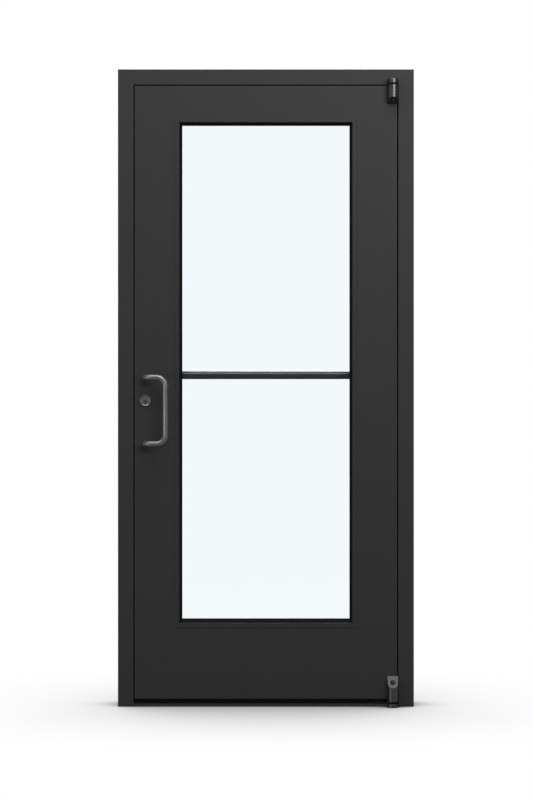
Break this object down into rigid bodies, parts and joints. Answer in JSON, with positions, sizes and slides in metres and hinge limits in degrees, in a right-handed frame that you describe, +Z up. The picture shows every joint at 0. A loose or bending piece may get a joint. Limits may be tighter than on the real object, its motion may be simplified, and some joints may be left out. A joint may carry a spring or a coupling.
{
  "type": "glazed steel door with frame",
  "caption": "Full-lite folded-steel door leaf hung on offset pivots in its own mitred steel frame, with an offset pull handle, a push bar, a keyed deadbolt lock and a threshold.",
  "frame": {"origin": "floor level, at the middle of the opening's width and of the frame's depth, on the threshold's middle rib", "axes": "+Z up, +Y from the pull side to the push side, +X towards the hinge side"},
  "size_m": [1.0224, 0.2079, 2.202],
  "materials": {
    "frame_paint": "matte charcoal powder coat",
    "leaf_paint": "matte charcoal powder coat",
    "lite_paint": "matte charcoal powder coat",
    "hardware_dark": "satin dark bronze coat",
    "cylinder_dark": "satin dark plate",
    "screw_dark": "black zinc",
    "threshold_metal": "dark anodised",
    "bare_steel": "plain steel",
    "bushing_bronze": "sintered bronze",
    "core_board": "honeycomb board",
    "clear_glass": "clear toughened",
    "black_rubber": "matte"
  },
  "bodies": {
    "frame": {"frame_head": "frame_paint", "hinge_jamb": "frame_paint", "strike_jamb": "frame_paint", "anchor_sleeves": "bare_steel", "floor_clips": "bare_steel", "threshold": "threshold_metal", "threshold_screws": "screw_dark", "seal_head": "black_rubber", "seal_strike": "black_rubber", "seal_hinge": "black_rubber", "top_pivot_frame_arm": "hardware_dark", "head_reinforcement": "bare_steel", "top_pivot_pin": "bare_steel", "top_pivot_washer": "hardware_dark", "bottom_pivot_base": "hardware_dark", "bottom_pivot_pin": "bare_steel", "bottom_pivot_bearing": "hardware_dark", "pivot_frame_screws": "screw_dark", "strike_plate": "cylinder_dark", "strike_box": "bare_steel", "strike_screws": "screw_dark"},
    "leaf": {"pull_skin": "leaf_paint", "push_skin": "leaf_paint", "top_channel": "leaf_paint", "bottom_channel": "leaf_paint", "top_leaf_reinforcement": "bare_steel", "bottom_leaf_reinforcement": "bare_steel", "leaf_core": "core_board", "lite_frame_pull": "lite_paint", "lite_frame_push": "lite_paint", "lite_screws": "screw_dark", "glass_pane": "clear_glass", "gasket_pull": "black_rubber", "gasket_push": "black_rubber", "setting_blocks": "black_rubber", "bottom_seal": "black_rubber", "top_pivot_door_arm": "hardware_dark", "top_pivot_bushing": "bushing_bronze", "top_pivot_screw": "screw_dark", "bottom_pivot_door_arm": "hardware_dark", "bottom_pivot_bushing": "bushing_bronze", "bottom_pivot_screw": "screw_dark", "pivot_door_screws": "screw_dark", "pull_handle": "hardware_dark", "pull_handle_bolts": "screw_dark", "push_bar": "hardware_dark", "push_bar_roses": "hardware_dark", "push_bar_backings": "bare_steel", "push_bar_studs": "bare_steel", "lock_case": "bare_steel", "lock_faceplate": "cylinder_dark", "lock_reinforcement": "bare_steel", "lock_screws": "screw_dark", "cylinder_collar": "cylinder_dark", "cylinder_body": "cylinder_dark", "thumbturn_rose": "hardware_dark"},
    "deadbolt": {"deadbolt": "bare_steel"},
    "thumbturn": {"thumbturn": "hardware_dark"},
    "key_plug": {"key_plug": "cylinder_dark"}
  },
  "joints": [
    {"name": "door_swing", "type": "hinge", "parent": "frame", "child": "leaf", "pos_m": [0.4377, -0.0934, 0], "axis": [0, 0, 1], "range_deg": [0, 170]},
    {"name": "thumbturn_turn", "type": "hinge", "parent": "leaf", "child": "thumbturn", "pos_m": [-0.4165, -0.0269, 1.0567], "axis": [0, 1, 0], "range_deg": [0, 90]},
    {"name": "deadbolt_slide", "type": "slide", "parent": "leaf", "child": "deadbolt", "axis": [-1, 0, 0], "range_m": [0, 0.0254]},
    {"name": "key_plug_turn", "type": "hinge", "parent": "leaf", "child": "key_plug", "pos_m": [-0.4165, -0.0714, 1.0537], "axis": [0, 1, 0], "range_deg": [-120, 120]}
  ],
  "couplings": [
    {"joint": "thumbturn_turn", "follows": "deadbolt_slide", "rad_per_m": 61.84}
  ]
}
